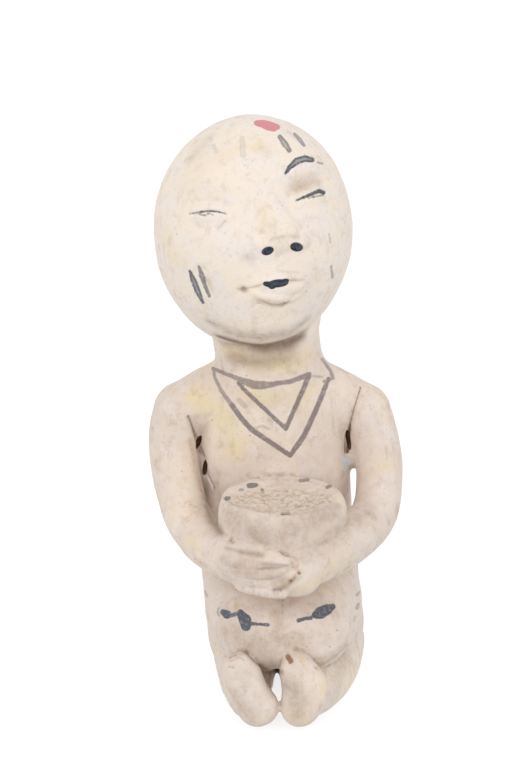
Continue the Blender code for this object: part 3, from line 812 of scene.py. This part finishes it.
def rough_cover(points):
    """1 on the rough clay in the bowl, falling to 0 at its lip."""
    x, y, top = BOWL_CENTRE
    east = (points[:, 0] - x - ROUGH_OFFSET[0]) / ROUGH_HALF[0]
    north = (points[:, 1] - y - ROUGH_OFFSET[1]) / ROUGH_HALF[1]
    inside = np.clip((1.0 - np.hypot(east, north)) * ROUGH_EDGE, 0, 1)
    return inside * (np.abs(points[:, 2] - top) < ROUGH_REACH)


def noise_at(points, size, seed):
    """Smooth noise from -1 to 1 with lumps of about this size."""
    offset = Vector((seed * 17.3, seed * -9.1, seed * 5.7))
    return np.array([noise.noise(Vector(point) / size + offset) for point in points])


def lumpy(points, lumps, first_seed):
    """Noise of several sizes added up."""
    return sum(lift * noise_at(points, size, seed) for seed, (size, lift) in enumerate(lumps, first_seed))


def weather(skin):
    """Hand-pinched unevenness all over, and pits in the rough clay of the bowl."""
    points, normals = points_of(skin), normals_of(skin)
    shift = lumpy(points, SKIN_LUMPS, 1) * eased(points[:, 2], 0, LEVEL_BAND)
    rough = rough_cover(points)
    near = np.flatnonzero(rough > 0)
    shift[near] += rough[near] * (lumpy(points[near], ROUGH_LUMPS, 3) - ROUGH_DEPTH)
    move_points(skin, points + normals * shift[:, None])


def cut(skin, tool, slot=0):
    """The skin with the shape taken away from it. The new faces take the material of that slot."""
    bmesh.ops.recalc_face_normals(tool, faces=tool.faces)
    mesh = bpy.data.meshes.new("tool")
    tool.to_mesh(mesh)
    tool.free()
    if slot:
        mesh = worked(mesh, "REMESH", mode="VOXEL", voxel_size=OPENING_GRAIN)
    for material in skin.materials:
        mesh.materials.append(material)
    for face in mesh.polygons:
        face.material_index = slot
    holder = bpy.data.objects.new("tool", mesh)
    bpy.context.scene.collection.objects.link(holder)
    skin = worked(skin, "BOOLEAN", operation="DIFFERENCE", solver="EXACT", object=holder)
    bpy.data.objects.remove(holder, do_unlink=True)
    return skin


def opened(skin):
    """Opens the mouth, nostrils, broken armpits and the gap between the legs, and flattens the seat."""
    tree = tree_of(skin)
    for slot, openings in ((1, FACE_OPENINGS), (2, BROKEN_OPENINGS)):
        tool = bmesh.new()
        for (across, down), width, height, depth, turn in openings:
            place = seen_at(tree, across, down)
            blob(tool, place, (width, depth, height), (-math.degrees(CAMERA_RISE), -turn, 0))
        skin = cut(skin, tool, slot)
    leg_gap = bmesh.new()
    blob(leg_gap, *LEG_GAP)
    skin = cut(skin, leg_gap)
    ground = bmesh.new()
    bmesh.ops.create_cube(ground, size=FIGURE_UNITS)
    ground.transform(Matrix.Translation((0, 0, -FIGURE_UNITS / 2)))
    return worked(cut(skin, ground), "TRIANGULATE")


def thinned(skin):
    """The skin with fewer faces, but as fine as before along every painted edge."""
    share = MOST_TRIANGLES / (2 * len(skin.polygons))
    if share >= 1:
        return skin
    tree = tree_of(skin)
    strokes = NECKLACE + GREY_MARKS + RED_MARKS + BARE_CLAY + PLASTER + GAP_SHADOW
    distance, _ = edge_distance(points_of(skin), tree, strokes)
    return worked(skin, "DECIMATE", (distance > FINE_MARGIN).astype(float), ratio=share)


def figure_mesh():
    skin = fused_skin()
    work_face(skin)
    work_lines(skin)
    weather(skin)
    skin = thinned(skin)
    skin.materials.clear()
    for material in (clay_material(), shaded_inside_material(), broken_material()):
        skin.materials.append(material)
    return opened(skin)


def hollowness(skin, spread):
    """How far each point lies below the evened-out skin."""
    even = worked(skin.copy(), "SMOOTH", factor=0.5, iterations=passes_for(spread))
    depth = ((points_of(even) - points_of(skin)) * normals_of(skin)).sum(axis=1)
    bpy.data.meshes.remove(even)
    return depth


def store(mesh, name, values):
    mesh.attributes.new(name, "FLOAT", "POINT").data.foreach_set("value", values.astype(np.float32))


def paint(mesh, skin_tree):
    """Keeps, point by point, what the material paints: edges of strokes, stains, painted shade, wear and
    hollows.
    """
    points = points_of(mesh)
    edged = {"necklace": NECKLACE, "grey": GREY_MARKS, "red": RED_MARKS}
    edged.update({"bare": BARE_CLAY, "plaster": PLASTER, "gap": GAP_SHADOW})
    for name, strokes in edged.items():
        distance, strength = edge_distance(points, skin_tree, strokes)
        store(mesh, name + "_edge", distance)
        store(mesh, name + "_strength", strength)
    # Soft stains, and soft painted shade under the chin, lips, hands and lap.
    stains = {"yellow": YELLOW_WASH, "brown": BROWN_STAIN_AND_SHADE, "dusk": DUSKY_PATCHES_AND_SHADE, "dark": PAINTED_SHADE}
    for name, strokes in stains.items():
        store(mesh, name, softness(points, skin_tree, strokes))
    store(mesh, "rough", rough_cover(points))
    store(mesh, "hollow", hollowness(mesh, NARROW_HOLLOW))
    store(mesh, "deep_hollow", hollowness(mesh, WIDE_HOLLOW))


def linear(red, green, blue):
    """A colour seen on screen, as the light values that the shader takes."""
    values = [v / 255 for v in (red, green, blue)]
    return (*(v / 12.92 if v <= 0.04045 else ((v + 0.055) / 1.055) ** 2.4 for v in values), 1.0)


# The slip turns from the cream of the head to the pinker clay below at the neck.
NECK_HEIGHT = 100 * SHARE
NECK_BLEND = 14 * SHARE
# The share of the paint that is worn away in the middle of a broad stroke on the head.
PAINT_LOST = 0.36

# Sizes of what varies the clay: patches, streaks, wear and grain, and how far apart specks and pits are.
WIDE_PATCHES = 16.0
PATCHES = 6.5
BLOTCHES = 5.2
STREAKS = 3.4
CLOUDS = 2.8
ROUGH_DIRT = 1.4
WEAR = 1.3
FINE = 0.9
SAND = 0.35
SPECKS_APART = 1.6
DOTS_APART = 5.0
PITS_APART = 1.7
PIT_DEPTH = 1.5

CREAM = linear(241, 228, 214)
WARM = linear(246, 229, 202)
PINK_CLAY = linear(222, 206, 193)
PALE = linear(238, 229, 226)
YELLOW = linear(232, 212, 168)
# Darker clay, also laid as painted shade under the jaw and between the arms and the trunk.
DUSK_AND_SHADE = linear(178, 158, 142)
ROUGH_CLAY = linear(216, 202, 184)
# Brown dirt and stains, also laid as painted shade in deep hollows, under the chin and between the fingers.
BROWN_AND_SHADE = linear(182, 152, 122)
# Grime, also laid as painted shade in the hollows and creases.
GRIME_AND_SHADE = linear(128, 108, 90)
NECKLACE_PAINT = linear(118, 105, 106)
GREY_PAINT = linear(84, 88, 98)
RED_PAINT = linear(212, 128, 138)
BARE = linear(150, 108, 84)
PLASTER_WHITE = linear(214, 216, 218)
# Painted shade inside the mouth and nostrils.
INSIDE_SHADE = linear(150, 156, 170)
DEEPER_INSIDE_SHADE = linear(112, 117, 130)
# Dark clay of the broken edges, also the painted shadow in the gap by the right arm.
DARK_CLAY_AND_SHADOW = linear(96, 82, 66)
FLOOR_WHITE = linear(150, 150, 150)
FLOOR_SHADE = linear(146, 146, 146)
FLOOR_GLOW = 0.78
FLOOR_HALF = 4.0
# The tent is dim below the horizon, and brightens over this band of directions.
TENT_BELOW = 0.66
TENT_ABOVE = 0.92
TENT_BAND = (-0.45, -0.05)
# A broad soft light over the front and a weaker one from the right: place in metres, size and power.
LIGHTS = {"key": ((-0.3, -1.0, 0.62), 0.7, 2.7), "side": ((0.9, -0.5, 0.5), 0.8, 0.7)}
LIGHT_AIM = Vector((0, 0, 0.08))


class Painter:
    """Builds the nodes of one material."""

    def __init__(self, name):
        self.material = bpy.data.materials.new(name)
        self.material.use_nodes = True
        self.tree = self.material.node_tree
        self.shader = self.tree.nodes["Principled BSDF"]
        self.place = self.node("TexCoord").outputs["Object"]
        self.colour = None

    def node(self, kind, inputs=None, **settings):
        made = self.tree.nodes.new("ShaderNode" + kind)
        for name, value in settings.items():
            setattr(made, name, value)
        for name, value in (inputs or {}).items():
            self.feed(made.inputs[name], value)
        return made

    def feed(self, socket, value):
        if isinstance(value, bpy.types.NodeSocket):
            self.tree.links.new(value, socket)
        else:
            socket.default_value = value

    def math(self, operation, first, second):
        return self.node("Math", {0: first, 1: second}, operation=operation).outputs[0]

    def times(self, *values):
        result = values[0]
        for value in values[1:]:
            result = self.math("MULTIPLY", result, value)
        return result

    def ramp(self, value, low, high, start=0.0, end=1.0):
        """The value eased from start to end as it goes from low to high."""
        inputs = {"Value": value, "From Min": low, "From Max": high, "To Min": start, "To Max": end}
        return self.node("MapRange", inputs, interpolation_type="SMOOTHSTEP").outputs["Result"]

    def mix(self, factor, first, second):
        return self.node("Mix", {0: factor, 6: first, 7: second}, data_type="RGBA").outputs[2]

    def lay(self, cover, tint):
        """Covers the colour so far with a tint."""
        self.colour = self.mix(cover, self.colour, tint)

    def kept(self, name):
        return self.node("Attribute", attribute_name=name).outputs["Fac"]

    def noise(self, size, detail=3.0, roughness=0.55, stretch=(1.0, 1.0, 1.0), away=0.0):
        """Noise with lumps of about this size, in the figure's units. It differs for each distance away."""
        shift = (away, away, away)
        inputs = {"Vector": self.place, "Scale": stretch, "Location": shift}
        place = self.node("Mapping", inputs).outputs["Vector"]
        inputs = {"Vector": place, "Scale": 1 / (size * SHARE), "Detail": detail, "Roughness": roughness}
        return self.node("TexNoise", inputs).outputs["Fac"]

    def cells(self, size):
        """Distance to the nearest of scattered points, which are about this far apart."""
        inputs = {"Vector": self.place, "Scale": 1 / (size * SHARE)}
        return self.node("TexVoronoi", inputs).outputs["Distance"]

    def stroke(self, name, ragged, soft, grain, wider=0.0):
        """Cover of a kind of painted stroke, whose edge is ragged by the grain."""
        uneven = self.times(self.math("SUBTRACT", grain, 0.5), ragged)
        edge = self.math("ADD", self.kept(name + "_edge"), uneven)
        cover = self.ramp(edge, wider - soft, wider + soft, 1.0, 0.0)
        return self.times(cover, self.kept(name + "_strength"))


def clay_material():
    """Pale slip over fired clay, with worn paint, stains, grime and painted shade."""
    paints = Painter("cream_slip_aged")
    height = paints.node("SeparateXYZ", {0: paints.place}).outputs["Z"]
    wide = paints.noise(WIDE_PATCHES, 3.0, 0.6)
    patchy = paints.noise(PATCHES, 5.0, 0.65, away=0.31)
    clouds = paints.noise(CLOUDS, 6.0, 0.72, away=0.52)
    streaks = paints.noise(STREAKS, 4.0, 0.65, (1.0, 1.0, 0.3), away=0.73)
    fine = paints.noise(FINE, 4.0, 0.65)
    grain = paints.noise(SAND, 2.0, 0.6)

    # Slip: cream on the head, pinker lower down, with warm and pale patches.
    above_neck = paints.math("ADD", height, paints.times(wide, NECK_BLEND))
    low = paints.ramp(above_neck, NECK_HEIGHT + NECK_BLEND, NECK_HEIGHT, 0.0, 0.9)
    paints.colour = paints.mix(low, CREAM, PINK_CLAY)
    paints.lay(paints.ramp(wide, 0.46, 0.68, 0.0, 0.5), WARM)
    less_low = paints.math("SUBTRACT", 1.0, paints.times(low, 0.5))
    pale = paints.times(paints.ramp(patchy, 0.42, 0.68, 0.0, 0.7), less_low)
    paints.lay(pale, PALE)
    yellow = paints.times(paints.kept("yellow"), paints.ramp(patchy, 0.25, 0.6, 1.0, 0.55))
    paints.lay(yellow, YELLOW)
    # Darker patches, partly painted shade under the jaw, between the arms and the trunk and under the bowl's
    # rim.
    dusk_and_shade_cover = paints.times(paints.kept("dusk"), paints.ramp(clouds, 0.35, 0.62, 1.0, 0.55))
    paints.lay(dusk_and_shade_cover, DUSK_AND_SHADE)
    paints.lay(paints.ramp(clouds, 0.5, 0.3, 0.0, 0.24), DUSK_AND_SHADE)
    # Brown streaks and blotches are stronger lower down.
    stronger_below = paints.math("ADD", 0.55, paints.times(low, 0.5))
    paints.lay(paints.times(paints.ramp(streaks, 0.54, 0.74, 0.0, 0.34), stronger_below), BROWN_AND_SHADE)
    blotches = paints.noise(BLOTCHES, 6.0, 0.72, away=0.94)
    paints.lay(paints.times(paints.ramp(blotches, 0.54, 0.72, 0.0, 0.48), stronger_below), BROWN_AND_SHADE)
    paints.lay(paints.ramp(fine, 0.46, 0.26, 0.0, 0.1), GRIME_AND_SHADE)

    # Grime and painted shade in the hollows, and stains, with painted shade under the chin, lips, hands and
    # lap.
    hollow = paints.ramp(paints.kept("hollow"), 0.02, 0.24, 0.0, 0.7)
    deep = paints.ramp(paints.kept("deep_hollow"), 0.1, 1.0, 0.0, 0.32)
    paints.lay(paints.times(deep, paints.ramp(clouds, 0.3, 0.6, 1.0, 0.6)), BROWN_AND_SHADE)
    paints.lay(paints.times(hollow, paints.ramp(fine, 0.25, 0.6, 0.6, 1.0)), GRIME_AND_SHADE)
    # Brown stains, partly painted shade under the chin, nose and lips and between the fingers.
    stain = paints.times(paints.kept("brown"), paints.ramp(fine, 0.3, 0.65, 0.4, 1.0))
    paints.lay(stain, BROWN_AND_SHADE)
    # Painted shade under the chin and lips, along the lap's edge and in creases.
    shade_cover = paints.times(paints.kept("dark"), paints.ramp(clouds, 0.3, 0.6, 0.75, 1.0))
    paints.lay(shade_cover, GRIME_AND_SHADE)

    # Specks.
    speck = paints.times(paints.ramp(paints.cells(SPECKS_APART), 0.16, 0.08), paints.ramp(patchy, 0.5, 0.65))
    paints.lay(paints.times(speck, 0.4), GRIME_AND_SHADE)
    dot = paints.times(paints.ramp(paints.cells(DOTS_APART), 0.06, 0.035), paints.ramp(wide, 0.45, 0.6))
    paints.lay(paints.times(dot, 0.7), GRIME_AND_SHADE)

    # Paint, worn in places, and on the head thinner in the middle of a broad stroke than at its edge.
    worn = paints.ramp(paints.noise(WEAR, 5.0, 0.75), 0.34, 0.5, 0.68, 1.0)
    necklace = paints.times(paints.stroke("necklace", 0.5, 0.2, fine, 0.1), worn, 0.88)
    paints.lay(necklace, NECKLACE_PAINT)
    on_head = paints.ramp(height, NECK_HEIGHT, NECK_HEIGHT + NECK_BLEND)
    lost = paints.times(paints.ramp(paints.kept("grey_edge"), -0.3, -0.85, 0.0, PAINT_LOST), on_head)
    left = paints.math("SUBTRACT", 1.0, lost)
    grey = paints.times(paints.stroke("grey", 0.6, 0.16, fine, 0.05), worn, left)
    paints.lay(grey, GREY_PAINT)
    red = paints.times(paints.stroke("red", 0.35, 0.12, fine), 0.9)
    paints.lay(red, RED_PAINT)

    # Bare clay, plaster, the painted shadow in the gap by the right arm, and the rough clay in the bowl.
    pits = paints.ramp(paints.cells(PITS_APART), 0.14, 0.42, 1.0, 0.0)
    rough = paints.kept("rough")
    paints.lay(paints.times(rough, 0.6), ROUGH_CLAY)
    dirt = paints.ramp(paints.noise(ROUGH_DIRT, 4.0, 0.7), 0.5, 0.68, 0.0, 0.75)
    paints.lay(paints.times(rough, dirt), BROWN_AND_SHADE)
    paints.lay(paints.stroke("bare", 0.6, 0.2, fine), BARE)
    paints.lay(paints.stroke("plaster", 0.6, 0.15, fine), PLASTER_WHITE)
    # Painted shadow in the gap between the right arm and the trunk.
    paints.lay(paints.stroke("gap", 0.3, 0.25, fine), DARK_CLAY_AND_SHADOW)
    paints.feed(paints.shader.inputs["Base Color"], paints.colour)

    # Finish.
    satin = paints.ramp(patchy, 0.3, 0.7, 0.5, 0.68)
    satin = paints.math("ADD", satin, paints.times(rough, 0.2))
    paints.feed(paints.shader.inputs["Roughness"], satin)
    paints.shader.inputs["Specular IOR Level"].default_value = 0.4

    # Grain of the surface.
    relief = paints.times(pits, rough, -PIT_DEPTH)
    for field, height in ((fine, 0.6), (grain, 0.35), (streaks, 0.8), (clouds, 0.8)):
        relief = paints.math("ADD", relief, paints.times(field, height))
    inputs = {"Height": relief, "Strength": 0.5, "Distance": 0.3 * SHARE}
    bump = paints.node("Bump", inputs).outputs["Normal"]
    paints.feed(paints.shader.inputs["Normal"], bump)
    return paints.material


def rough_material(name, first, second, size):
    """A dull surface of two colours in lumps of about this size."""
    paints = Painter(name)
    colour = paints.mix(paints.ramp(paints.noise(size), 0.35, 0.65), first, second)
    paints.feed(paints.shader.inputs["Base Color"], colour)
    paints.shader.inputs["Roughness"].default_value = 0.9
    paints.shader.inputs["Specular IOR Level"].default_value = 0.1
    inputs = {"Height": paints.noise(size / 2), "Strength": 0.5, "Distance": 0.4 * SHARE}
    paints.feed(paints.shader.inputs["Normal"], paints.node("Bump", inputs).outputs["Normal"])
    return paints


def shaded_inside_material():
    """Painted shade for the unlit inside of the hollow head, seen through the mouth and nostrils."""
    return rough_material("painted_inside_shade", INSIDE_SHADE, DEEPER_INSIDE_SHADE, 0.8).material


def broken_material():
    """Broken edges of the clay body at the armpits."""
    return rough_material("broken_clay", DARK_CLAY_AND_SHADOW, BARE, 1.0).material


def floor_material():
    """A white table that is lit from below as well."""
    paints = rough_material("studio_floor", FLOOR_WHITE, FLOOR_SHADE, 400.0)
    paints.shader.inputs["Emission Color"].default_value = (1.0, 1.0, 1.0, 1.0)
    paints.shader.inputs["Emission Strength"].default_value = FLOOR_GLOW
    return paints.material


def make_figure():
    skin = figure_mesh()
    low, high = points_of(skin).min(axis=0), points_of(skin).max(axis=0)
    middle = (CAD_LOW + CAD_HIGH) / 2
    shift = Vector((middle.x / SHARE - (low[0] + high[0]) / 2, middle.y / SHARE - (low[1] + high[1]) / 2, 0))
    paint(skin, tree_of(skin))
    for face in skin.polygons:
        face.use_smooth = True
    skin.transform(Matrix.Scale(SHARE, 4) @ Matrix.Translation(shift))
    figure = bpy.data.objects.new("clay_skin", skin)
    bpy.context.scene.collection.objects.link(figure)
    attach(figure, "root")
    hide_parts("clay_figure")
    return shift


def make_floor():
    shape = bmesh.new()
    bmesh.ops.create_grid(shape, x_segments=1, y_segments=1, size=FLOOR_HALF)
    mesh = bpy.data.meshes.new("floor")
    shape.to_mesh(mesh)
    shape.free()
    mesh.materials.append(floor_material())
    floor = bpy.data.objects.new("floor", mesh)
    floor.visible_diffuse = False
    bpy.context.scene.collection.objects.link(floor)


def make_camera(shift):
    camera = bpy.data.objects.new("camera", bpy.data.cameras.new("camera"))
    camera.data.sensor_width = SENSOR
    camera.data.lens = FOCAL / max(PHOTO_SIZE) * SENSOR
    forward = Vector(FORWARD)
    camera.location = (Vector(CAMERA_TARGET) + shift - forward * CAMERA_DISTANCE) * SHARE
    camera.rotation_euler = forward.to_track_quat("-Z", "Y").to_euler()
    bpy.context.scene.collection.objects.link(camera)
    bpy.context.scene.camera = camera


def make_tent():
    """A white tent of light, dim below the level of the table."""
    world = bpy.data.worlds.new("studio")
    world.use_nodes = True
    tree = world.node_tree
    direction = tree.nodes.new("ShaderNodeTexCoord")
    height = tree.nodes.new("ShaderNodeSeparateXYZ")
    brightness = tree.nodes.new("ShaderNodeMapRange")
    brightness.inputs["From Min"].default_value = TENT_BAND[0]
    brightness.inputs["From Max"].default_value = TENT_BAND[1]
    brightness.inputs["To Min"].default_value = TENT_BELOW
    brightness.inputs["To Max"].default_value = TENT_ABOVE
    tree.links.new(direction.outputs["Generated"], height.inputs[0])
    tree.links.new(height.outputs["Z"], brightness.inputs["Value"])
    tree.links.new(brightness.outputs["Result"], tree.nodes["Background"].inputs["Strength"])
    tree.nodes["Background"].inputs["Color"].default_value = (1.0, 1.0, 1.0, 1.0)
    bpy.context.scene.world = world


def make_lights():
    for name, (place, size, power) in LIGHTS.items():
        light = bpy.data.lights.new(name, "AREA")
        light.size = size
        light.energy = power
        lamp = bpy.data.objects.new(name, light)
        lamp.location = place
        lamp.rotation_euler = (LIGHT_AIM - Vector(place)).to_track_quat("-Z", "Y").to_euler()
        bpy.context.scene.collection.objects.link(lamp)


shift = make_figure()
make_floor()
make_camera(shift)
make_tent()
make_lights()
bpy.context.scene.view_settings.view_transform = "Standard"
